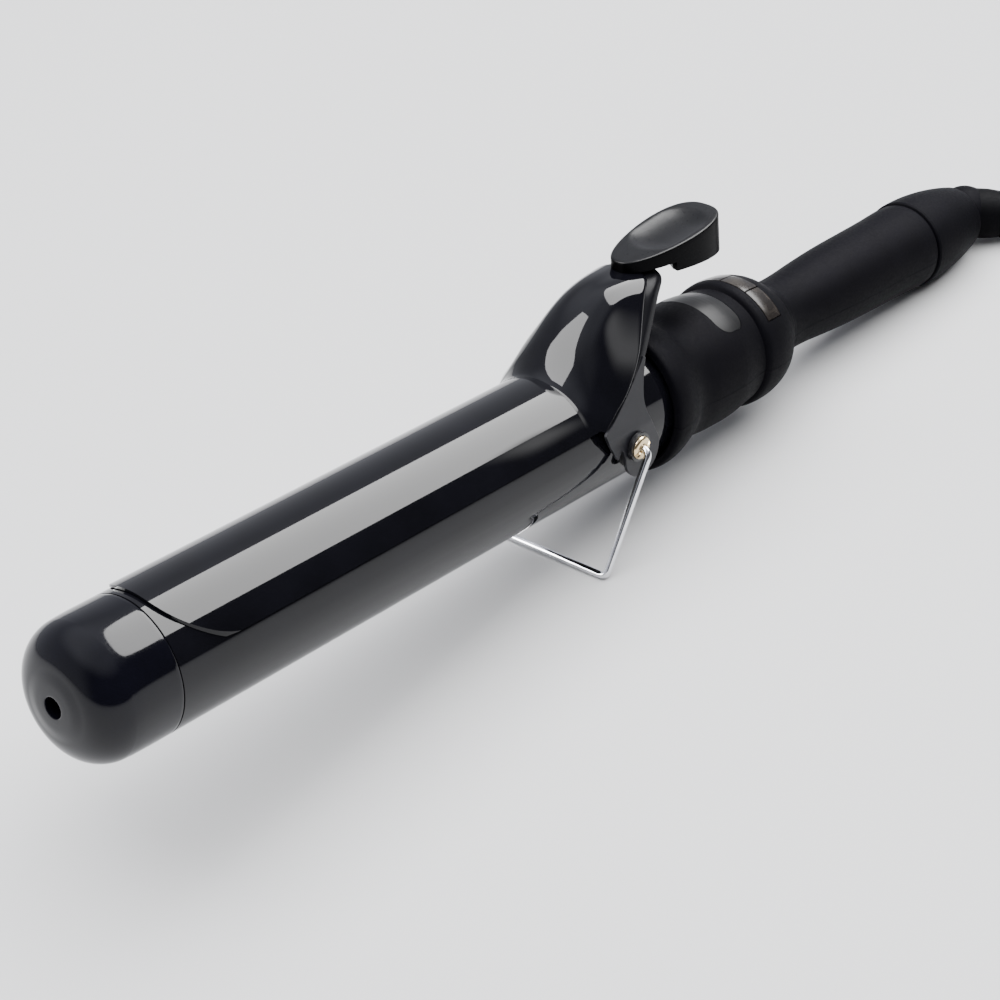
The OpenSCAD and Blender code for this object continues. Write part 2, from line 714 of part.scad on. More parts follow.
module plug_body() {
    color([0.05, 0.05, 0.055]) translate([plug_x, plug_y, plug_z + 0.02]) {
        linear_extrude(14) polygon([for (c = [[20, 9, 0], [3, 6, 90], [3, -6, 180], [20, -9, 270]])
            for (p = arc([c[0], c[1]], 3, c[2], c[2] + 90, 6)) p]);
        translate([-16, 0, 7]) rotate([0, 90, 0]) cylinder(r1 = 4, r2 = 5.6, h = 16.5, $fn = 32);
    }
}

module plug_blades() {
    color([0.78, 0.7, 0.5]) for (side = [-1, 1])
        translate([plug_x + 23, plug_y + side * 6.35 - 0.8, plug_z + 4]) cube([17, 1.6, 6.4]);
}

posed() barrel_tube();
posed() tip_cap();
posed() tip_screw();
posed() heater_carriers();
posed() heater_element();
posed() heater_leads();
posed() thermistor();
posed() thermal_fuse();
posed() barrel_mount();
posed() pivot_saddles();
posed() pivot_rivets();
posed() pivot_bushes();
posed() clamp_plate();
posed() lever_shell();
posed() lever_strap();
posed() lever_ears();
posed() thumb_rest();
posed() rest_screws();
posed() clamp_spring();
posed() stand_wire();
posed() housing_upper();
posed() housing_lower();
posed() housing_screws();
posed() display_lens();
posed() display_panel();
posed() control_board();
posed() power_board();
posed() board_parts();
posed() switch_carrier();
posed() button_switches();
posed() button_minus();
posed() button_power();
posed() button_plus();
posed() tail_cap();
posed() swivel_contacts();
posed() swivel_ball();
strain_relief();
cord_tube();
cord_hank();
cord_tie();
plug_body();
plug_blades();
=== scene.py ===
"""Looks of the curling iron: camera, light, the mains cord, replacement meshes and materials.

Shapes are drawn in the iron's own frame, in millimetres: the barrel's axis is X with the tip at 0,
the thumb rest is up and the clamp turns about Y at PIVOT_X. place() puts them in the row frame.
"""

import json
import math

import bmesh
import bpy
from mathutils import Matrix, Vector


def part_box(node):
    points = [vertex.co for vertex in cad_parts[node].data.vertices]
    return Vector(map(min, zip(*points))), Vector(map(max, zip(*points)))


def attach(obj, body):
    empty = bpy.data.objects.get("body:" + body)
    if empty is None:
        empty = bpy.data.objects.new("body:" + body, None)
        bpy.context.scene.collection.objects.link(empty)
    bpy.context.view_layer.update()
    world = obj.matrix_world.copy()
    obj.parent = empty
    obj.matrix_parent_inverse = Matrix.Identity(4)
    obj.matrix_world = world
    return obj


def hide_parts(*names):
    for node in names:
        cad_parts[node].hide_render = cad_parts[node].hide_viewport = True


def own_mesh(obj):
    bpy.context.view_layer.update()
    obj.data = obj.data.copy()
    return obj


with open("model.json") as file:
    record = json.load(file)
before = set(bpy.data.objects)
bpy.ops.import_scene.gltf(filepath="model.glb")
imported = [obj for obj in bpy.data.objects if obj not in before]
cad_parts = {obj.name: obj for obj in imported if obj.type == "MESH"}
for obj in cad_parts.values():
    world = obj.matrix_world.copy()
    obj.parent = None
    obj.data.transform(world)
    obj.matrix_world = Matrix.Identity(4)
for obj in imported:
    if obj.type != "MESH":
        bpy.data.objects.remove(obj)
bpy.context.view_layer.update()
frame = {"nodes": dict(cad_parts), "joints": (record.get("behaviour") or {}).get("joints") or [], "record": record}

MM = 0.001
JOINTS = {joint["name"]: joint for joint in frame["joints"]}

# ---------------------------------------------------------------------------------------------
# The iron's own frame
# ---------------------------------------------------------------------------------------------
PIVOT_X = 194.0
PIVOT = Vector(JOINTS["clamp_hinge"]["pos_m"])
AX = Vector(JOINTS["cord_swivel"]["axis"]).normalized()
AY = Vector((0, 1, 0))
AZ = AX.cross(AY)


def place(x, y, z):
    """A point of the iron's own frame, in millimetres, as a point of the row frame, in metres."""
    return PIVOT + MM * ((x - PIVOT_X) * AX + y * AY + z * AZ)


# ---------------------------------------------------------------------------------------------
# Camera
# ---------------------------------------------------------------------------------------------
CAMERA_AT = Vector((-0.47963, -0.41622, 0.43292))
CAMERA_RIGHT = Vector((0.65031, -0.75575, -0.07698))
CAMERA_FORWARD = Vector((0.60025, 0.57331, -0.55769))
CAMERA_LENS = 94.25
SENSOR_WIDTH = 36
NEAREST, FURTHEST = 0.01, 20


def make_camera():
    """Looks down on the tip from in front, along the iron."""
    data = bpy.data.cameras.new("camera")
    data.lens = CAMERA_LENS
    data.sensor_width = SENSOR_WIDTH
    data.clip_start, data.clip_end = NEAREST, FURTHEST
    camera = bpy.data.objects.new("camera", data)
    bpy.context.scene.collection.objects.link(camera)
    back = -CAMERA_FORWARD.normalized()
    right = (CAMERA_RIGHT - CAMERA_RIGHT.dot(back) * back).normalized()
    up = back.cross(right)
    turn = Matrix((right, up, back)).transposed().to_4x4()
    camera.matrix_world = Matrix.Translation(CAMERA_AT) @ turn
    bpy.context.scene.camera = camera


# ---------------------------------------------------------------------------------------------
# Materials
# ---------------------------------------------------------------------------------------------
class Shade:
    """A node material: a Principled shader with helpers for grain, mottling and bump."""

    def __init__(self, name, color, roughness, metallic=0.0, coat=0.0, specular=0.5):
        self.material = bpy.data.materials.new(name)
        self.material.use_nodes = True
        self.tree = self.material.node_tree
        self.shader = self.tree.nodes["Principled BSDF"]
        self.color = tuple(color) + (1.0,)
        self.roughness = roughness
        self.set("Base Color", self.color)
        self.set("Roughness", roughness)
        self.set("Metallic", metallic)
        self.set("Specular IOR Level", specular)
        self.set("Coat Weight", coat)
        self.set("Coat Roughness", 0.02)
        self.where = self.node("ShaderNodeTexCoord").outputs["Object"]
        self.height = None

    def set(self, socket, value):
        self.shader.inputs[socket].default_value = value

    def node(self, kind, **values):
        made = self.tree.nodes.new(kind)
        for key, value in values.items():
            setattr(made, key, value)
        return made

    def link(self, a, b):
        self.tree.links.new(a, b)

    def noise(self, size, detail, stretch=(1, 1, 1)):
        """Noise whose features are about `size` millimetres across."""
        mapping = self.node("ShaderNodeMapping")
        mapping.inputs["Scale"].default_value = stretch
        self.link(self.where, mapping.inputs["Vector"])
        made = self.node("ShaderNodeTexNoise")
        made.inputs["Scale"].default_value = 1 / (size * MM)
        made.inputs["Detail"].default_value = detail
        self.link(mapping.outputs["Vector"], made.inputs["Vector"])
        return made.outputs["Fac"]

    def spread(self, value, low, high, start=0.3, end=0.7):
        """The value, from start to end, mapped to low to high."""
        made = self.node("ShaderNodeMapRange")
        for socket, number in (("From Min", start), ("From Max", end), ("To Min", low), ("To Max", high)):
            made.inputs[socket].default_value = number
        self.link(value, made.inputs["Value"])
        return made.outputs["Result"]

    def tint(self, value, other, start=0.3, end=0.7):
        """Mixes the base colour towards another where the value is high."""
        mix = self.node("ShaderNodeMix", data_type="RGBA")
        mix.inputs[6].default_value = self.color
        mix.inputs[7].default_value = tuple(other) + (1.0,)
        self.link(self.spread(value, 0, 1, start, end), mix.inputs[0])
        before = self.shader.inputs["Base Color"]
        if before.is_linked:
            self.link(before.links[0].from_socket, mix.inputs[6])
        self.link(mix.outputs[2], before)
        return self

    def gloss(self, value, low, high):
        """Roughness that follows the value."""
        self.link(self.spread(value, low, high), self.shader.inputs["Roughness"])
        return self

    def bump(self, value, depth):
        """Relief of `depth` millimetres from the value."""
        made = self.node("ShaderNodeBump")
        made.inputs["Strength"].default_value = 1.0
        made.inputs["Distance"].default_value = depth * MM
        self.link(value, made.inputs["Height"])
        if self.height is not None:
            self.link(self.height, made.inputs["Normal"])
        self.height = made.outputs["Normal"]
        self.link(self.height, self.shader.inputs["Normal"])
        return self


def gloss_black(name, color, roughness=0.04, specular=0.23):
    """Glossy black coat with a faint orange peel, hairline scuffs and slight mottling."""
    shade = Shade(name, color, roughness, specular=specular)
    shade.tint(shade.noise(14, 3), [1.6 * c for c in color])
    shade.gloss(shade.noise(1.2, 5, (1, 6, 6)), roughness * 0.7, roughness * 1.6)
    shade.bump(shade.noise(2.2, 1), 0.0012)
    return shade.material


def matte_black(name, color, roughness, grain, depth, specular):
    """Matte moulding with a fine spark-eroded grain."""
    shade = Shade(name, color, roughness, specular=specular)
    shade.tint(shade.noise(9, 4), [1.35 * c for c in color])
    shade.gloss(shade.noise(0.8, 3), roughness * 0.9, min(1, roughness * 1.12))
    shade.bump(shade.noise(grain, 2), depth)
    return shade.material


def metal(name, color, roughness, brushed=None, other=None):
    """Bare metal, mottled towards another colour, with brushed grain if it has a direction."""
    shade = Shade(name, color, roughness, metallic=1.0)
    shade.tint(shade.noise(5, 3), other or [0.86 * c for c in color])
    shade.gloss(shade.noise(2.5, 2, brushed or (1, 1, 1)), roughness * 0.9, roughness * 1.2)
    shade.bump(shade.noise(1.2, 1, brushed or (1, 1, 1)), 0.0004)
    return shade.material


def moulded(name, color, roughness, coat=0.0):
    """Plain moulded plastic or ceramic, finely grained."""
    shade = Shade(name, color, roughness, coat=coat)
    shade.tint(shade.noise(6, 3), [0.82 * c for c in color])
    shade.gloss(shade.noise(0.9, 2), roughness * 0.85, min(1, roughness * 1.2))
    shade.bump(shade.noise(0.5, 2), 0.006)
    return shade.material


def smoked(name, color, other, roughness, specular):
    """Smoked translucent plastic: a dark body with a lighter cloud inside under a clear gloss."""
    shade = Shade(name, color, roughness, specular=specular)
    shade.tint(shade.noise(5, 2), other, 0.45, 0.75)
    shade.bump(shade.noise(1.5, 1), 0.001)
    return shade.material


def printed_board(name, color):
    """Solder mask over copper tracks: a grid of faint lines and pads."""
    shade = Shade(name, color, 0.35, coat=0.5)
    tracks = shade.node("ShaderNodeTexBrick")
    tracks.inputs["Scale"].default_value = 260
    tracks.inputs["Mortar Size"].default_value = 0.03
    shade.link(shade.where, tracks.inputs["Vector"])
    shade.tint(tracks.outputs["Fac"], [1.9 * c for c in color], 0.0, 1.0)
    shade.bump(tracks.outputs["Fac"], 0.03)
    return shade.material


def fabric_strap(name, color):
    """Woven hook-and-loop strap: two crossed sets of threads."""
    shade = Shade(name, color, 0.85)
    shade.set("Sheen Weight", 0.03)
    shade.set("Specular IOR Level", 0.12)
    for axis in ("X", "Y"):
        wave = shade.node("ShaderNodeTexWave", bands_direction=axis)
        wave.inputs["Scale"].default_value = 900
        wave.inputs["Distortion"].default_value = 1.5
        shade.link(shade.where, wave.inputs["Vector"])
        shade.tint(wave.outputs["Fac"], [1.6 * c for c in color], 0.2, 0.9)
        shade.bump(wave.outputs["Fac"], 0.05)
    return shade.material


MATERIALS = {
    "gloss_black_coat": gloss_black("gloss_black_coat", (0.002, 0.002, 0.003)),
    "tip_black": gloss_black("tip_black", (0.0015, 0.0015, 0.003), 0.07, 0.22),
    "ear_black": matte_black("ear_black", (0.008, 0.008, 0.01), 0.36, 0.25, 0.003, 0.2),
    # A darker, duller copy of ear_black: painted shade on the bracket's strap along the lever's rear edge.
    "strap_painted_shade": matte_black("strap_painted_shade", (0.003, 0.003, 0.004), 0.3, 0.25, 0.003, 0.07),
    "rest_black": matte_black("rest_black", (0.002, 0.002, 0.0025), 0.3, 0.3, 0.002, 0.16),
    # A darker, duller copy of rest_black: painted shade for the thumb rest's wall and underside.
    "rest_painted_shade": matte_black("rest_painted_shade", (0.001, 0.001, 0.0013), 0.3, 0.3, 0.002, 0.02),
    "handle_black": matte_black("handle_black", (0.0014, 0.0013, 0.0022), 0.6, 0.35, 0.008, 0.035),
    "relief_black": matte_black("relief_black", (0.0013, 0.0013, 0.0017), 0.55, 0.4, 0.008, 0.03),
    "saddle_black": moulded("saddle_black", (0.008, 0.008, 0.009), 0.35),
    "screw_steel": metal("screw_steel", (0.6, 0.6, 0.6), 0.3),
    "wire_chrome": metal("wire_chrome", (0.78, 0.78, 0.8), 0.1, other=(0.6, 0.6, 0.63)),
    "rivet_brass": metal("rivet_brass", (0.83, 0.7, 0.46), 0.2, other=(0.62, 0.47, 0.26)),
    "lens_smoked": smoked("lens_smoked", (0.004, 0.004, 0.0045), (0.007, 0.007, 0.007), 0.34, 0.14),
    "button_smoked": smoked("button_smoked", (0.012, 0.01, 0.009), (0.04, 0.034, 0.028), 0.2, 0.22),
    "heater_metal": metal("heater_metal", (0.75, 0.75, 0.76), 0.35, (1, 8, 8)),
    "heater_ceramic": moulded("heater_ceramic", (0.45, 0.36, 0.22), 0.6),
    "lead_white": moulded("lead_white", (0.75, 0.74, 0.7), 0.75),
    "sensor_red": moulded("sensor_red", (0.35, 0.05, 0.03), 0.3, 0.5),
    "mount_cream": moulded("mount_cream", (0.68, 0.64, 0.55), 0.6),
    "board_green": printed_board("board_green", (0.01, 0.11, 0.04)),
    "panel_grey": moulded("panel_grey", (0.12, 0.14, 0.12), 0.25, 0.6),
    "parts_dark": moulded("parts_dark", (0.02, 0.02, 0.021), 0.45),
    "spring_steel": metal("spring_steel", (0.45, 0.46, 0.5), 0.28, (8, 1, 1)),
    "contact_brass": metal("contact_brass", (0.8, 0.62, 0.33), 0.22),
    "tie_fabric": fabric_strap("tie_fabric", (0.004, 0.004, 0.0045)),
}


def paint_nodes():
    """Every CAD node takes the material of its record slot."""
    for part in frame["record"]["subparts"]:
        node = frame["nodes"][part["node"]]
        node.data.materials.clear()
        node.data.materials.append(MATERIALS[part["material_slot"]])


# ---------------------------------------------------------------------------------------------
# Mesh helpers
# ---------------------------------------------------------------------------------------------
def piece(name, points, faces, material, body, replaces, bevel=0.0, smooth=35):
    """A mesh from points in the row frame, riding on a body and standing for CAD nodes."""
    mesh = bpy.data.meshes.new(name)
    mesh.from_pydata([tuple(p) for p in points], [], faces)
    mesh.validate()
    work = bmesh.new()
    work.from_mesh(mesh)
    bmesh.ops.remove_doubles(work, verts=work.verts, dist=1e-6)
    bmesh.ops.recalc_face_normals(work, faces=work.faces)
    work.to_mesh(mesh)
    work.free()
    mesh.materials.append(MATERIALS[material])
    made = bpy.data.objects.new(name, mesh)
    bpy.context.scene.collection.objects.link(made)
    mesh.shade_smooth()
    mesh.set_sharp_from_angle(angle=math.radians(smooth))
    if bevel:
        rounded = made.modifiers.new("bevel", "BEVEL")
        rounded.width = bevel * MM
        rounded.segments = 3
        rounded.limit_method = "ANGLE"
        rounded.angle_limit = math.radians(40)
        rounded.harden_normals = True
    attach(made, body)
    if replaces:
        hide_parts(*replaces)
    return made


def grid_faces(rows, columns, wrap=False, offset=0):
    """Quads between rows of points; wrap joins the last column to the first."""
    last = columns if wrap else columns - 1
    return [
        (offset + r * columns + c, offset + r * columns + (c + 1) % columns,
         offset + (r + 1) * columns + (c + 1) % columns, offset + (r + 1) * columns + c)
        for r in range(rows - 1) for c in range(last)
    ]


def slab(front, back):
    """Points and faces of a closed slab between two grids of the same size."""
    rows, columns = len(front), len(front[0])
    count = rows * columns
    points = [p for row in front for p in row] + [p for row in back for p in row]
    faces = grid_faces(rows, columns)
    faces += [tuple(reversed(f)) for f in grid_faces(rows, columns, offset=count)]
    rim = [r * columns for r in range(rows)]
    rim += [(rows - 1) * columns + c for c in range(1, columns)]
    rim += [r * columns + columns - 1 for r in range(rows - 2, -1, -1)]
    rim += list(range(columns - 2, 0, -1))
    faces += [(a, b, b + count, a + count) for a, b in zip(rim, rim[1:] + rim[:1])]
    return points, faces


def frames_along(path, up):
    """Direction, side and upper vector at each point of a path."""
    made = []
    for i, _ in enumerate(path):
        ahead = (path[min(i + 1, len(path) - 1)] - path[max(i - 1, 0)]).normalized()
        side = up.cross(ahead).normalized()
        made.append((ahead, side, ahead.cross(side)))
    return made


def tube(path, radius, sides, up):
    """Points and faces of a round tube along a path, closed at both ends."""
    points = []
    for p, (_, side, top) in zip(path, frames_along(path, up)):
        for k in range(sides):
            a = 2 * math.pi * k / sides
            points.append(p + radius * (math.cos(a) * side + math.sin(a) * top))
    faces = grid_faces(len(path), sides, wrap=True)
    faces.append(tuple(range(sides - 1, -1, -1)))
    faces.append(tuple((len(path) - 1) * sides + k for k in range(sides)))
    return points, faces


def lathe(profile, origin, axis, side, steps):
    """Points and faces of [along, radius] points spun about an axis; ends at radius 0 close it."""
    other = axis.cross(side)
    points = []
    for along, radius in profile:
        for k in range(steps):
            a = 2 * math.pi * k / steps
            spoke = math.cos(a) * side + math.sin(a) * other
            points.append(origin + MM * (along * axis + radius * spoke))
    return points, grid_faces(len(profile), steps, wrap=True)


def catmull(points, t):
    """A point of a smooth curve through a list of vectors, for t from 0 to 1."""
    last = len(points) - 1
    k = min(int(t * last), last - 1)
    x = t * last - k
    p0 = points[k - 1] if k else 2 * points[0] - points[1]
    p3 = points[k + 2] if k + 2 <= last else 2 * points[last] - points[last - 1]
    p1, p2 = points[k], points[k + 1]
    return 0.5 * (2 * p1 + (p2 - p0) * x + (2 * p0 - 5 * p1 + 4 * p2 - p3) * x * x
                  + (3 * p1 - p0 - 3 * p2 + p3) * x ** 3)


def ease(t):
    """Smooth step from 0 to 1."""
    return t * t * (3 - 2 * t)


# ---------------------------------------------------------------------------------------------
# Mains cord: loose stretch, tied hank, tie and plug
# ---------------------------------------------------------------------------------------------
CORD_D, CORD_LENGTH = 0.0065, 2.0
# The loose stretch, from the strain relief's end to the hank.
CORD_ROUTE = [
    (0.222, -0.030, 0.0046), (0.226, -0.0349, 0.004), (0.231, -0.040, 0.0036), (0.237, -0.045, 0.0034),
    (0.244, -0.0494, 0.0034), (0.252, -0.053, 0.0034), (0.261, -0.0556, 0.0035), (0.271, -0.057, 0.0038),
    (0.283, -0.0575, 0.0043), (0.300, -0.0575, 0.0046),
]
# The hank: where its straight runs start, its middle, the runs' length and its tracks' half widths.
HANK_X, HANK_Y, HANK_RUN = 0.300, -0.0315, 0.0868
HANK_INNER, HANK_OUTER = 3 * CORD_D, 4 * CORD_D
HANK_FLOOR = 0.0046
INTO_PLUG = 0.004
PLUG_LOW, PLUG_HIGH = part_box("plug_body")
PLUG_Y = (PLUG_LOW.y + PLUG_HIGH.y) / 2
PLUG_Z = (PLUG_LOW.z + PLUG_HIGH.z) / 2


def hank_points():
    """Laps of the hank: each runs out on the near side and back, then folds to the next track."""
    layer = [HANK_FLOOR + CORD_D * k for k in range(3)]
    tracks = [(HANK_OUTER, layer[0]), (HANK_INNER, layer[0]), (HANK_INNER, layer[1]),
              (HANK_OUTER, layer[1]), (HANK_OUTER, layer[2]), (HANK_INNER, layer[2]),
              (HANK_Y - PLUG_Y, PLUG_Z)]
    steps, fold = 12, 20
    far_x = HANK_X + HANK_RUN
    points = []
    for (radius, z), (next_radius, next_z) in zip(tracks, tracks[1:]):
        for i in range(steps):
            points.append(Vector((HANK_X + HANK_RUN * i / steps, HANK_Y - radius, z)))
        for i in range(fold):
            a = math.pi * (i / fold - 0.5)
            points.append(Vector((far_x + radius * math.cos(a), HANK_Y + radius * math.sin(a), z)))
        for i in range(steps):
            points.append(Vector((HANK_X + HANK_RUN * (1 - i / steps), HANK_Y + radius, z)))
        for i in range(fold):
            a = math.pi * (i / fold + 0.5)
            reach = radius + (next_radius - radius) * ease(i / fold)
            rise = z + (next_z - z) * ease(i / fold)
            points.append(Vector((HANK_X + reach * math.cos(a), HANK_Y + reach * math.sin(a), rise)))
    points.append(Vector((HANK_X, PLUG_Y, PLUG_Z)))
    points.append(Vector((PLUG_LOW.x + INTO_PLUG, PLUG_Y, PLUG_Z)))
    return points


def make_cord():
    """The cord's free length as one curve: the loose stretch, then the hank."""
    route, steps = [Vector(p) for p in CORD_ROUTE], 60
    points = [catmull(route, i / steps) for i in range(steps)] + hank_points()
    curve = bpy.data.curves.new("mains_cord", "CURVE")
    curve.dimensions = "3D"
    curve.bevel_depth = CORD_D / 2
    curve.bevel_resolution = 6
    spline = curve.splines.new("POLY")
    spline.points.add(len(points) - 1)
    for target, p in zip(spline.points, points):
        target.co = (*p, 1)
    curve.materials.append(MATERIALS["relief_black"])
    made = bpy.data.objects.new("mains_cord", curve)
    bpy.context.scene.collection.objects.link(made)
    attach(made, "cord")
    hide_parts("cord_tube", "cord_hank")
    return made


def superellipse(half_w, half_h, power, steps):
    """Points of a rounded rectangle, as (across, up)."""
    made = []
    for k in range(steps):
        a = 2 * math.pi * k / steps
        c, s = math.cos(a), math.sin(a)
        made.append((half_w * math.copysign(abs(c) ** (2 / power), c),
                     half_h * math.copysign(abs(s) ** (2 / power), s)))
    return made


def make_plug():
    """Moulded two-blade plug: a ribbed tail, a waisted grip and a flat face."""
    x0, x1 = PLUG_LOW.x, PLUG_HIGH.x
    half_w, half_h = (PLUG_HIGH.y - PLUG_LOW.y) / 2, (PLUG_HIGH.z - PLUG_LOW.z) / 2
    tail, ribs, thin_end, thick_end = 0.016, 7, 0.0042, 0.0058
    sections = []
    for i in range(ribs):
        t = i / ribs
        radius = thin_end + (thick_end - thin_end) * t
        for along, part in ((0.0, 1), (0.5, 1), (0.55, 0.82), (0.95, 0.82)):
            sections.append((x0 + tail * (t + along / ribs), radius * part, radius * part, 2))
    # The body's sections: part of its length, of its half width and of its half height, and how square.
    grip = [(0.0, 0.30, 0.62, 2), (0.06, 0.52, 0.78, 2.4), (0.16, 0.86, 0.93, 3), (0.26, 0.97, 0.98, 3.6),
            (0.40, 0.93, 0.95, 4), (0.55, 0.89, 0.93, 4), (0.70, 0.93, 0.96, 4), (0.84, 1.0, 1.0, 4.5),
            (0.93, 1.0, 1.0, 5), (0.98, 0.98, 0.97, 5), (1.0, 0.94, 0.9, 5)]
    for t, w, h, power in grip:
        sections.append((x0 + tail + (x1 - x0 - tail) * t, half_w * w, half_h * h, power))
    steps = 48
    points = [Vector((x, PLUG_Y + across, PLUG_Z + up))
              for x, w, h, power in sections for across, up in superellipse(w, h, power, steps)]
    faces = grid_faces(len(sections), steps, wrap=True)
    faces.append(tuple(range(steps - 1, -1, -1)))
    faces.append(tuple((len(sections) - 1) * steps + k for k in range(steps)))
    return piece("plug_moulding", points, faces, "relief_black", "cord", ["plug_body"], smooth=40)


def make_blades():
    """Two flat blades with rounded tips and a round hole in each."""
    low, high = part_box("plug_blades")
    thick, hole_r = 0.0016, 0.0016
    hole_x = high.x - 0.0042
    steps, squareness = 96, 12
    made = []
    for side, y in (("near", low.y), ("far", high.y - thick)):
        z, half = (low.z + high.z) / 2, (high.z - low.z) / 2
        outer, inner = [], []
        for k in range(steps):
            a = 2 * math.pi * k / steps
            c, s = math.cos(a), math.sin(a)
            inner.append((hole_x + hole_r * c, z + hole_r * s))
            reach_x = (high.x - hole_x) if c > 0 else (hole_x - low.x)
            power = squareness if c < 0 else squareness / 2
            stretch = (abs(c / reach_x) ** power + abs(s / half) ** power) ** (-1 / power)
            outer.append((hole_x + stretch * c, z + stretch * s))
        points = [Vector((x, y + t, zz)) for t in (0, thick) for x, zz in outer + inner]
        ring, layer = steps, 2 * steps
        faces = []
        for k in range(steps):
            n = (k + 1) % steps
            faces.append((k, n, ring + n, ring + k))
            faces.append((layer + n, layer + k, layer + ring + k, layer + ring + n))
            faces.append((n, k, layer + k, layer + n))
            faces.append((ring + k, ring + n, layer + ring + n, layer + ring + k))
        replaced = ["plug_blades"] if side == "near" else []
        made.append(piece(f"plug_blade_{side}", points, faces, "contact_brass", "cord", replaced, 0.15))
    return made


def superellipse_at(half_w, half_h, power, a):
    """The point of a rounded rectangle in the direction a, as (across, up)."""
    c, s = math.cos(a), math.sin(a)
    reach = (abs(c) ** power + abs(s) ** power) ** (-1 / power)
    return half_w * c * reach, half_h * s * reach


def make_tie():
    """A strap round the hank, pulled in between its layers, with a lapped end."""
    low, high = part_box("cord_tie")
    centre_y, centre_z = (low.y + high.y) / 2, (low.z + high.z) / 2
    half_w, half_h, long = (high.y - low.y) / 2, (high.z - low.z) / 2, high.x - low.x
    thick, columns, steps, squareness = 0.0011, 9, 96, 7
    lap_steps, lap_rise, pull_in, above_table = 8, 0.0008, 0.012, 0.0002
    outer, inner = [], []
    for k in range(steps + lap_steps):
        a = 2 * math.pi * k / steps - math.pi / 2
        lap = lap_rise * max(0, k - steps + 1) / lap_steps
        across, up = superellipse_at(half_w, half_h, squareness, a)
        pinch = 1 - pull_in * math.cos(2 * a) ** 2
        on_top_or_below = abs(up) > half_h * 0.8
        for grid, depth in ((outer, 0.0), (inner, thick)):
            scale = (1 - (depth - lap) / half_h if on_top_or_below else 1 - depth / half_w) * pinch
            y, z = centre_y + across * scale, max(above_table, centre_z + up * scale)
            grid.append([Vector((low.x + long * c / (columns - 1), y, z)) for c in range(columns)])
    points, faces = slab(outer, inner)
    return piece("cord_strap", points, faces, "tie_fabric", "cord", ["cord_tie"])


def make_cord_group():
    """The cord with its plug, blades and tie; the strain relief stays the CAD node."""
    cord = make_cord()
    with_pieces = [make_plug(), *make_blades(), make_tie(), frame["nodes"]["strain_relief"]]


# ---------------------------------------------------------------------------------------------
# Clamp lever: shell, bracket and thumb rest
# ---------------------------------------------------------------------------------------------
CREASE_X, CLAMP_OUT, WRAP = 180.0, 19.9, math.radians(66)
LEVER_TOP, LEVER_WALL = 40.0, 0.8
# How deep the sheet starts in the clamp, and two parts of its length: how much shorter it is than
# the rim, and how long its rounded edge is.
SHEET_SUNK, SHEET_IN, SHEET_ROUNDING = 0.05, 0.085, 0.045
# The sheet's curves leave the crease in one direction and meet the rim in another, and each
# direction holds for a part of the way.
RISE_BACK, RISE_PULL = 0.53, 0.63
RIM_SPREAD, RIM_LIFT, RIM_PULL = 0.6, 0.02, 0.36
RIM = [Vector(p) for p in (
    (220, 0, 40), (220, 4.4, 40), (218.6, 8, 39.2), (213.6, 10.9, 36.6), (206.8, 14.1, 30.4),
    (199.4, 17.3, 23.4), (192, 19.1, 16.2), (186, 19.6, 11.8), (182.4, 19.2, 8))]


def shell_at(u, v):
    """The shell's sheet: u runs from side to side, -1 to 1, and v from the crease to the rim."""
    a = WRAP * u
    foot_r = CLAMP_OUT - SHEET_SUNK
    start = Vector((CREASE_X, foot_r * math.sin(a), foot_r * math.cos(a)))
    end = catmull(RIM, abs(u))
    end.y = math.copysign(end.y, u)
    reach = (end - start).length
    up = Vector((RISE_BACK, 0, math.cos(a))).normalized()
    back = Vector((1, RIM_SPREAD * math.sin(a), RIM_LIFT)).normalized()
    b, c = start + RISE_PULL * reach * up, end - RIM_PULL * reach * back
    w = 1 - v
    return start * w ** 3 + 3 * b * w * w * v + 3 * c * w * v * v + end * v ** 3


def shell_out(u, v):
    """The sheet's outward direction."""
    e = 0.01
    u, v = min(max(u, -0.99), 0.99), min(max(v, 0.01), 0.99)
    along = shell_at(u, v + e) - shell_at(u, v - e)
    across = shell_at(u + e, v) - shell_at(u - e, v)
    return along.cross(across).normalized()


def shell_point(u, v, depth):
    """A point of the sheet, moved outwards by the depth, in the row frame."""
    return place(*(shell_at(u, v) + depth * shell_out(u, v)))


def on_clamp(u, x, above):
    """A point over the clamp plate's outer face, in the direction that u stands for."""
    a, r = WRAP * u, CLAMP_OUT + above
    return Vector((x, r * math.sin(a), r * math.cos(a)))


def sheet_end(u):
    """How far back the sheet reaches: above the ears it leaves the bracket's strap in view."""
    ears_top, full = 0.74, 0.34
    return 1 - SHEET_IN * ease(min(max((ears_top - abs(u)) / (ears_top - full), 0), 1))


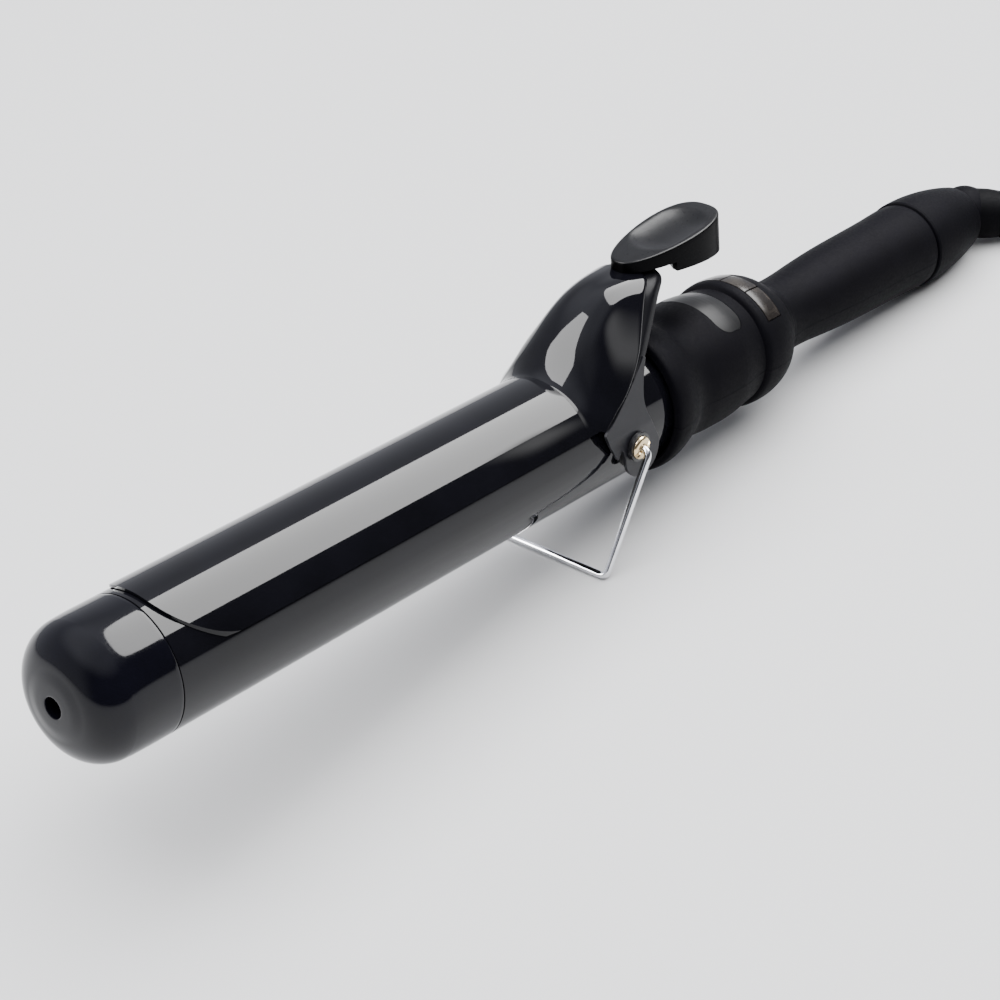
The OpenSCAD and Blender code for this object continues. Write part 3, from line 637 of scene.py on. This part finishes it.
def make_lever_shell():
    """The sheet: a fillet off the clamp, the flared body and a rounded rear edge."""
    wide, long, turn, round_steps = 64, 30, 8, 6
    foot, thinnest = 0.12, 0.06
    # The fillet's start and corner, and the sheet's hidden start: place along, height over the clamp.
    fillet_start, fillet_corner, hidden = (CREASE_X - 3.2, 0.02), (CREASE_X - 0.6, 0.1), (CREASE_X, -0.4)
    outer, inner = [], []
    for i in range(-wide, wide + 1):
        u = i / wide
        edge = sheet_end(u) - SHEET_ROUNDING
        start, corner = on_clamp(u, *fillet_start), on_clamp(u, *fillet_corner)
        end = shell_at(u, foot) + LEVER_WALL * shell_out(u, foot)
        out_row, in_row = [], [place(*on_clamp(u, *hidden))]
        for k in range(turn):
            t = k / turn
            out_row.append(place(*(start * (1 - t) ** 2 + 2 * corner * t * (1 - t) + end * t * t)))
            if k:
                in_row.append(shell_point(u, foot * t, 0))
        for k in range(long + 1):
            v = foot + (edge - foot) * k / long
            out_row.append(shell_point(u, v, LEVER_WALL))
            in_row.append(shell_point(u, v, 0))
        for k in range(1, round_steps + 1):
            s = math.sin(math.pi / 2 * k / round_steps)
            v = edge + SHEET_ROUNDING * s
            out_row.append(shell_point(u, v, max(thinnest, LEVER_WALL * math.sqrt(1 - s * s))))
            in_row.append(shell_point(u, v, 0))
        outer.append(out_row)
        inner.append(in_row)
    points, faces = slab(outer, inner)
    return piece("lever_sheet", points, faces, "gloss_black_coat", "clamp", ["lever_shell"], smooth=50)


def make_strap():
    """The bracket's strap: it lines the rim from inside and shows behind the sheet."""
    wide, reach, steps = 56, 0.69, 4
    lap, before_rim, past_rim = 0.06, 0.985, (0.6, 1.6, 2.6)
    outer_face, inner_face = -0.12, -1.2
    grids = []
    for depth in (outer_face, inner_face):
        rows = []
        for i in range(-wide, wide + 1):
            u = reach * i / wide
            # Past the rim it runs straight back under the rest and falls off beside it.
            to = Vector((0.8, 0, -0.6 * min(1, abs(u) * 2.6))).normalized()
            rim = shell_at(u, 1) + depth * shell_out(u, 1)
            start = sheet_end(u) - lap
            row = [shell_point(u, start + (before_rim - start) * k / steps, depth) for k in range(steps + 1)]
            rows.append(row + [place(*(rim + s * to)) for s in past_rim])
        grids.append(rows)
    points, faces = slab(*grids)
    made = piece("bracket_strap", points, faces, "ear_black", "clamp", ["lever_strap"], bevel=0.3)
    # The strap trades the ears' material for its darker copy: painted shade along the lever's rear edge.
    made.data.materials[0] = MATERIALS["strap_painted_shade"]
    return made


def arc(cx, cy, r, a0, a1, steps):
    """Points of an arc, with its angles in degrees."""
    return [(cx + r * math.cos(math.radians(a0 + (a1 - a0) * i / steps)),
             cy + r * math.sin(math.radians(a0 + (a1 - a0) * i / steps))) for i in range(steps + 1)]


EAR_IN, EAR_T, LEAN = 20.3, 1.0, math.radians(12)
FOLD_START, FOLD_Z, FOLD_LONG = 3.5, 5.0, 3
# Heights where the ears are cut into strips, so that they bend smoothly.
EAR_CUTS = (3.5, 4.25, 5, 5.75, 6.5, 11, 16)


def ear_outline():
    """The lobe round the pivot, the notched front corner and the arm that meets the strap."""
    lobe_x, lobe_z, lobe_r = 197, -3, 7.5
    lobe = arc(lobe_x, lobe_z, lobe_r, 178, 376, 30)
    rear = [Vector((x, z, 0)) for x, z in ((204.3, -1), (202, 3.2), (199.6, 8.2), (199, 12.6), (199.9, 17.2),
                                           (201.2, 20.9), (202.2, 23.4))]
    front = [Vector((x, z, 0)) for x, z in ((201.4, 23.9), (197.4, 20.2), (191.4, 14.9), (185.2, 10.1),
                                            (181.6, 8))]
    arm = [catmull(rear, i / 24) for i in range(1, 25)] + [catmull(front, i / 16) for i in range(17)]
    corner = [(181.1, 7.3), (182, 4.6), (185.7, -1.3), (186.4, -1.5), (186.7, -0.7), (187.5, 0.8),
              (188.4, 0.2)]
    return [(p.x, p.y) for p in arm] + corner + lobe


def make_ears():
    """Both ears: a flat lobe, folded inwards above the pivot, with broken edges."""
    for name, side in (("near", -1), ("far", 1)):
        work = bmesh.new()
        rim = [work.verts.new((x, 0, z)) for x, z in ear_outline()]
        face = work.faces.new(rim)
        grown = bmesh.ops.extrude_face_region(work, geom=[face])
        for v in grown["geom"]:
            if isinstance(v, bmesh.types.BMVert):
                v.co.y = EAR_T
        for z in EAR_CUTS:
            bmesh.ops.bisect_plane(work, geom=[*work.verts, *work.edges, *work.faces], plane_co=(0, 0, z),
                                   plane_no=(0, 0, 1))
        points = []
        for v in work.verts:
            lean = LEAN * ease(min(1, max(0, (v.co.z - FOLD_START) / FOLD_LONG)))
            rise = max(0, v.co.z - FOLD_Z)
            y = EAR_IN - rise * math.sin(lean) + v.co.y * math.cos(lean)
            z = v.co.z - rise * (1 - math.cos(lean)) + v.co.y * math.sin(lean)
            points.append(place(v.co.x, side * y, z))
        work.verts.index_update()
        faces = [[v.index for v in f.verts] for f in work.faces]
        work.free()
        piece(f"bracket_ear_{name}", points, faces, "ear_black", "clamp",
              ["lever_ears"] if side < 0 else [], bevel=0.22)


REST_MID, REST_TOP, REST_SLOPE = 231.2, 46.6, math.radians(6.4)
REST_HALF, REST_WIDE, REST_WALL, REST_ROUNDING, REST_CLEAR = 20.8, 9.1, 1.8, 0.6, 0.25
# How square the outline is, and how much wider it is to the rear.
REST_POWER, REST_FLARE = 0.74, 0.18
# Where the underside steps down behind the lever, and the hollow's front and ceiling.
STEP_X, HOLLOW_X, HOLLOW_TOP = 226.4, -3, -4.0
# The rear of the underside: its height at a place, and its fall to the rear.
HEEL_X, HEEL_Z, HEEL_FALL = 220, 38.6, 0.0611


def rest_spot(t, inset):
    """A point of the thumb rest's outline about its middle, smaller by the inset."""
    c, s = math.cos(t), math.sin(t)
    flare = 1 + REST_FLARE * c
    return (REST_HALF - inset) * c, (REST_WIDE - inset) * math.copysign(abs(s) ** REST_POWER, s) * flare


def rest_dish(x, y):
    """Height of the dished top: a long hollow with round ends."""
    start, end, radius, above = -3, 8, 24, 22.7
    away = math.hypot(x - min(end, max(start, x)), y)
    return min(0, above - math.sqrt(max(0, radius ** 2 - away ** 2)))


def rest_place(x, y, z):
    """A point about the middle of the rest's top, in the row frame."""
    c, s = math.cos(REST_SLOPE), math.sin(REST_SLOPE)
    return place(REST_MID + x * c - z * s, y, REST_TOP + x * s + z * c)


def rest_floor(x, inside):
    """Height of the rest's underside: on the lever in front, lower and hollow to the rear."""
    at = REST_MID + x
    if inside and x > HOLLOW_X:
        return HOLLOW_TOP
    low = LEVER_TOP + LEVER_WALL + REST_CLEAR if at < STEP_X else HEEL_Z - HEEL_FALL * (at - HEEL_X)
    return (low - REST_TOP) / math.cos(REST_SLOPE) - x * math.tan(REST_SLOPE)


def make_rest():
    """The thumb rest: a dished top, a rounded rim, a plain wall and a hollow underside."""
    step, beside, spokes = math.acos((STEP_X - REST_MID) / REST_HALF), 0.004, 120
    turns = sorted([2 * math.pi * k / spokes for k in range(spokes)]
                   + [m + d for m in (step, 2 * math.pi - step) for d in (-beside, beside)])
    ring_steps, round_steps, wall_steps = 18, 5, 6
    tops, walls, under = [], [], []
    for k in range(1, ring_steps + 1):
        ring = [(x * k / ring_steps, y * k / ring_steps)
                for x, y in (rest_spot(t, REST_ROUNDING) for t in turns)]
        tops.append([rest_place(x, y, rest_dish(x, y)) for x, y in ring])
    for k in range(1, round_steps + 1):
        a = math.pi / 2 * k / round_steps
        spots = [rest_spot(t, REST_ROUNDING * (1 - math.sin(a))) for t in turns]
        tops.append([rest_place(x, y, -REST_ROUNDING * (1 - math.cos(a))) for x, y in spots])
    for k in range(1, wall_steps + 1):
        part = k / wall_steps
        spots = [rest_spot(t, 0) for t in turns]
        walls.append([rest_place(x, y, (rest_floor(x, False) + REST_ROUNDING) * part - REST_ROUNDING)
                      for x, y in spots])
    for inside, shrink in ((False, 1), (True, 1), (True, 0.5)):
        spots = [rest_spot(t, REST_WALL) for t in turns]
        under.append([rest_place(x * shrink, y * shrink, rest_floor(x, inside)) for x, y in spots])
    grid = tops + walls + under
    n = len(turns)
    points = [p for ring in grid for p in ring]
    faces = grid_faces(len(grid), n, wrap=True)
    top, low = len(points), len(points) + 1
    points += [rest_place(0, 0, rest_dish(0, 0)), rest_place(0, 0, HOLLOW_TOP)]
    faces += [(top, k, (k + 1) % n) for k in range(n)]
    last = (len(grid) - 1) * n
    faces += [(low, last + (k + 1) % n, last + k) for k in range(n)]
    made = piece("thumb_pad", points, faces, "rest_black", "clamp", ["thumb_rest"], smooth=32)
    # The wall and the underside take a darker, duller copy of the rest's material: painted shade on the faces that
    # point sideways or down.
    made.data.materials.append(MATERIALS["rest_painted_shade"])
    for face in made.data.polygons:
        face.material_index = int(face.normal.z < 0.5)
    return made


def rounded_way(corners, radius, steps):
    """A flat route with its corners rounded."""
    made = [Vector(corners[0])]
    for before, at, after in zip(corners, corners[1:], corners[2:]):
        before, at, after = Vector(before), Vector(at), Vector(after)
        a, b = (at - before).normalized(), (after - at).normalized()
        cut = radius * math.tan(a.angle(b) / 2)
        p, q = at - cut * a, at + cut * b
        for k in range(steps + 1):
            t = k / steps
            made.append(p * (1 - t) ** 2 + 2 * at * t * (1 - t) + q * t * t)
    made.append(Vector(corners[-1]))
    return made


WIRE_R, WIRE_BEND, STAND_LEAN = 1.1, 2.6, math.radians(21.3)


def make_stand():
    """The bent wire of the stand, from one rivet round to the other."""
    corners = [(-18, 0), (-26.1, 0), (-22.5, 38.5), (22.5, 38.5), (26.1, 0), (18, 0)]
    way = [place(PIVOT_X - p.y * math.sin(STAND_LEAN), p.x, -p.y * math.cos(STAND_LEAN))
           for p in rounded_way(corners, WIRE_BEND, 12)]
    up = (AX * math.cos(STAND_LEAN) - AZ * math.sin(STAND_LEAN)).normalized()
    points, faces = tube(way, WIRE_R * MM, 28, up)
    return piece("stand_loop", points, faces, "wire_chrome", "stand", ["stand_wire"], smooth=50)


def make_rivets():
    """Hollow rivets: a shank through the saddle and a domed head, slotted across the bore."""
    steps, head = 144, 23.3
    slot_x, slot_z, slot_half, slot_edge, slot_depth = 0.34, 0.94, 0.3, 0.12, 0.45
    # From the shank's inner end out to the head's dome and back along the bore, as (out, radius).
    profile = [(16.2, 1.3), (16.2, 2.4), (16.35, 2.6), (16.95, 2.6), (17.05, 1.9), (22.9, 1.9),
               (22.9, 3.2), (23.0, 3.4), (23.2, 3.42), (23.45, 3.3), (23.7, 3.05), (23.88, 2.7),
               (23.98, 2.3), (24.0, 1.95), (23.96, 1.6), (23.85, 1.35), (23.6, 1.22), (23.0, 1.16),
               (16.2, 1.16), (16.2, 1.3)]
    for name, side in (("near", -1), ("far", 1)):
        points = []
        for y, radius in profile:
            for k in range(steps):
                a = 2 * math.pi * k / steps
                x, z = radius * math.cos(a), radius * math.sin(a)
                across = abs(x * slot_x - z * slot_z)
                slot = 1 - ease(min(1, max(0, (across - slot_half) / slot_edge)))
                y_cut = y - slot_depth * slot * (y > head)
                points.append(place(PIVOT_X + x, side * y_cut, z))
        piece(f"rivet_{name}", points, grid_faces(len(profile), steps, wrap=True), "rivet_brass",
              "housing", ["pivot_rivets"] if side < 0 else [], smooth=40)


LEAF_HALF_THICK, LEAF_ROWS, LEAF_FOOT = 0.22, (-4, -3.6, -1.5, 1.5, 3.6, 4), (187, 0, 19.3)


def make_leaf():
    """The leaf spring: it bows from the barrel to the lever."""
    line = [Vector((x, z, 0)) for x, z in ((183, 19.3), (187, 19.28), (191.5, 19.6), (197, 21.4),
                                           (202.5, 25.4), (206, 31), (208, 36), (208.8, 39.4))]
    grids = []
    for depth in (LEAF_HALF_THICK, -LEAF_HALF_THICK):
        grids.append([[place(p.x - depth * d.y, y, p.y + depth * d.x) for y in LEAF_ROWS]
                      for p, d in leaf_steps(line, 40)])
    points, faces = slab(*grids)
    leaf = piece("leaf_spring", points, faces, "spring_steel", "housing", ["clamp_spring"])
    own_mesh(leaf)


def leaf_steps(line, steps):
    """Points along the leaf, each with the leaf's direction there."""
    made = [catmull(line, k / steps) for k in range(steps + 1)]
    return [(p, (made[min(k + 1, steps)] - made[max(k - 1, 0)]).normalized()) for k, p in enumerate(made)]


def make_cap():
    """The tip cap: a domed front with a screw hole, and a broken edge where it meets the barrel."""
    nose = [Vector(p) for p in ((0.1, 3.2, 0), (0.14, 4.6, 0), (0.32, 6.8, 0), (0.92, 9.7, 0))]
    shoulder = [Vector(p) for p in ((9.6, 18.65, 0), (12, 18.86, 0), (15.5, 18.97, 0), (19, 19, 0),
                                    (24.2, 19, 0))]
    dome_x, dome_y, dome_r = 11.4, 8.2, 10.6
    # From the screw's seat out through its hole, over the front and the shoulder to the barrel, and
    # back along the spigot and the hollow inside.
    line = [(6.9, 0.6), (6.9, 2.85), (0.4, 2.85), (0.2, 2.9), (0.12, 3.0)]
    line += [tuple(catmull(nose, k / 18))[:2] for k in range(18)]
    line += [(dome_x + dome_r * math.sin(math.radians(a)), dome_y + dome_r * math.cos(math.radians(a)))
             for a in range(-82, -10, 2)]
    line += [tuple(catmull(shoulder, k / 24))[:2] for k in range(25)]
    line += [(24.42, 18.93), (24.56, 18.78), (24.62, 18.55), (24.62, 18.05), (31.6, 17.95), (31.6, 16),
             (24, 16), (8, 14), (3.4, 5.4), (3.4, 4.6), (13.9, 4.6), (13.9, 1.25), (6.9, 1.25), (6.9, 0.6)]
    points, faces = lathe(line, place(0, 0, 0), AX, AY, 160)
    return piece("tip_dome", points, faces, "tip_black", "housing", ["tip_cap"], smooth=34)


# ---------------------------------------------------------------------------------------------
# Floor and light
# ---------------------------------------------------------------------------------------------
FLOOR_HALF = 6.0


def rectangle(half_x, half_y):
    """Corners of a rectangle about the origin."""
    return [(-half_x, -half_y), (half_x, -half_y), (half_x, half_y), (-half_x, half_y)]


def make_floor():
    """The paper that the iron stands on."""
    mesh = bpy.data.meshes.new("floor")
    mesh.from_pydata([(x, y, 0) for x, y in rectangle(FLOOR_HALF, FLOOR_HALF)], [], [(0, 1, 2, 3)])
    shade = Shade("floor_paper", (0.6, 0.6, 0.6), 0.9, specular=0.1)
    shade.tint(shade.noise(300, 2), (0.62, 0.62, 0.62))
    shade.bump(shade.noise(0.6, 2), 0.01)
    mesh.materials.append(shade.material)
    floor = bpy.data.objects.new("floor", mesh)
    bpy.context.scene.collection.objects.link(floor)


def panel_light(name, at, turn, size, radiance, fills):
    """A soft panel that the camera doesn't see: one that fills lights surfaces, one that doesn't
    only shows in reflections."""
    data = bpy.data.lights.new(name, "AREA")
    data.shape = "RECTANGLE"
    data.size, data.size_y = size
    data.energy = radiance * math.pi * data.size * data.size_y
    light = bpy.data.objects.new(name, data)
    bpy.context.scene.collection.objects.link(light)
    light.matrix_world = Matrix.Translation(at) @ turn.to_4x4()
    light.visible_camera = False
    light.visible_diffuse, light.visible_glossy = fills, not fills


def facing(at, target):
    """Axes of a panel at a point that faces a target."""
    back = (at - target).normalized()
    side = Vector((0, 0, 1)).cross(back).normalized()
    return Matrix((side, back.cross(side), back)).transposed()


def glowing_card(name, at, turn, corners, radiance):
    """A flat card that only reflections show, with its glow not yet linked up."""
    mesh = bpy.data.meshes.new(name)
    mesh.from_pydata([(x, y, 0) for x, y in corners], [], [tuple(range(len(corners)))])
    material = bpy.data.materials.new(name)
    material.use_nodes = True
    tree = material.node_tree
    tree.nodes.remove(tree.nodes["Principled BSDF"])
    glow = tree.nodes.new("ShaderNodeEmission")
    glow.inputs["Strength"].default_value = radiance
    mesh.materials.append(material)
    card = bpy.data.objects.new(name, mesh)
    bpy.context.scene.collection.objects.link(card)
    card.matrix_world = Matrix.Translation(at) @ turn.to_4x4()
    card.visible_camera = card.visible_diffuse = card.visible_shadow = False
    return tree, glow.outputs["Emission"]


def rounded_panel(name, at, turn, size, bulge, radiance):
    """A panel with one rounded end, which sticks out by bulge towards its own -X."""
    half_x, half_y = size[0] / 2, size[1] / 2
    turns = [math.pi * (0.5 + k / 48) for k in range(49)]
    corners = [(half_x, -half_y), (half_x, half_y)]
    corners += [(bulge * math.cos(a) - half_x, half_y * math.sin(a)) for a in turns]
    tree, glow = glowing_card(name, at, turn, corners, radiance)
    tree.links.new(glow, tree.nodes["Material Output"].inputs["Surface"])


def soft_panel(name, at, turn, size, radiance):
    """A panel whose light fades towards its edges."""
    half_x, half_y = size[0] / 2, size[1] / 2
    tree, glow = glowing_card(name, at, turn, rectangle(half_x, half_y), radiance)
    mix = tree.nodes.new("ShaderNodeMixShader")
    tree.links.new(tree.nodes.new("ShaderNodeBsdfTransparent").outputs["BSDF"], mix.inputs[1])
    tree.links.new(glow, mix.inputs[2])
    tree.links.new(mix.outputs["Shader"], tree.nodes["Material Output"].inputs["Surface"])
    split = tree.nodes.new("ShaderNodeSeparateXYZ")
    tree.links.new(tree.nodes.new("ShaderNodeTexCoord").outputs["Object"], split.inputs["Vector"])
    level = None
    for axis, half in (("X", half_x), ("Y", half_y)):
        away = tree.nodes.new("ShaderNodeMath")
        away.operation = "ABSOLUTE"
        tree.links.new(split.outputs[axis], away.inputs[0])
        fade = tree.nodes.new("ShaderNodeMapRange")
        fade.interpolation_type = "SMOOTHSTEP"
        for socket, number in (("From Min", 0.1 * half), ("From Max", half), ("To Min", 1.0),
                               ("To Max", 0.0)):
            fade.inputs[socket].default_value = number
        tree.links.new(away.outputs["Value"], fade.inputs["Value"])
        times = tree.nodes.new("ShaderNodeMath")
        times.operation = "MULTIPLY"
        times.inputs[1].default_value = 1.0
        tree.links.new(fade.outputs["Result"], times.inputs[0])
        if level is not None:
            tree.links.new(level, times.inputs[1])
        level = times.outputs["Value"]
    tree.links.new(level, mix.inputs["Fac"])


# The key panel over the iron, in the iron's own frame: it draws the band along the barrel.
KEY_MIDDLE, KEY_SIZE, KEY_BULGE, KEY_RADIANCE = (1017.5, -175, 900), (0.565, 1.03), 0.34, 20
# The fill over the table.
FILL_AT, FILL_SIZE, FILL_RADIANCE = Vector((0.2, -0.1, 1.5)), (2.4, 2.4), 6
# Two panels near the lever: one draws the wedge on its front, one glows softly on its flank.
LEVER_MIDDLE = place(195, 0, 32)
WEDGE_AT, WEDGE_AIM = LEVER_MIDDLE + Vector((-0.132, 0.08, 0.2)), Vector((0.97, -0.15, -0.18))
WEDGE_SIZE, WEDGE_RADIANCE = (0.14, 0.42), 20
FLANK_AT = LEVER_MIDDLE + Vector((0.021, -0.057, 0.02))
FLANK_SIZE, FLANK_RADIANCE = (0.036, 0.05), 3
# The studio's walls: each part rises smoothly along an axis, from a level to another.
SKY_COLOR = (0.9, 0.92, 1, 1)
SKY_PARTS = (("Y", -0.35, 0.25, 0.12, 0.85), ("Z", 0.55, 0.9, 0.0, 1.1))


def make_panels():
    """The panels round the iron, each with its place, size and radiance from above."""
    along_iron = Matrix((AX, AY, AZ)).transposed()
    rounded_panel("key_panel", place(*KEY_MIDDLE), along_iron, KEY_SIZE, KEY_BULGE, KEY_RADIANCE)
    panel_light("fill_panel", FILL_AT, Matrix.Identity(3), FILL_SIZE, FILL_RADIANCE, fills=True)
    panel_light("wedge_panel", WEDGE_AT, facing(WEDGE_AT, WEDGE_AT + WEDGE_AIM), WEDGE_SIZE,
                WEDGE_RADIANCE, fills=False)
    soft_panel("flank_panel", FLANK_AT, facing(FLANK_AT, LEVER_MIDDLE), FLANK_SIZE, FLANK_RADIANCE)


def make_studio():
    """The world's light: walls that brighten away from the camera, and a bright ceiling."""
    world = bpy.data.worlds.new("studio")
    bpy.context.scene.world = world
    world.use_nodes = True
    tree = world.node_tree
    split = tree.nodes.new("ShaderNodeSeparateXYZ")
    tree.links.new(tree.nodes.new("ShaderNodeTexCoord").outputs["Generated"], split.inputs["Vector"])
    levels = []
    for axis, start, end, low, high in SKY_PARTS:
        ramp = tree.nodes.new("ShaderNodeMapRange")
        ramp.interpolation_type = "SMOOTHSTEP"
        for socket, number in (("From Min", start), ("From Max", end), ("To Min", low), ("To Max", high)):
            ramp.inputs[socket].default_value = number
        tree.links.new(split.outputs[axis], ramp.inputs["Value"])
        levels.append(ramp.outputs["Result"])
    total = tree.nodes.new("ShaderNodeMath")
    total.operation = "ADD"
    for level, socket in zip(levels, total.inputs):
        tree.links.new(level, socket)
    back = tree.nodes["Background"]
    back.inputs["Color"].default_value = SKY_COLOR
    tree.links.new(total.outputs["Value"], back.inputs["Strength"])


make_camera()
paint_nodes()
make_cord_group()
make_lever_shell()
make_strap()
make_ears()
make_rest()
make_stand()
make_rivets()
make_leaf()
make_cap()
make_floor()
make_panels()
make_studio()
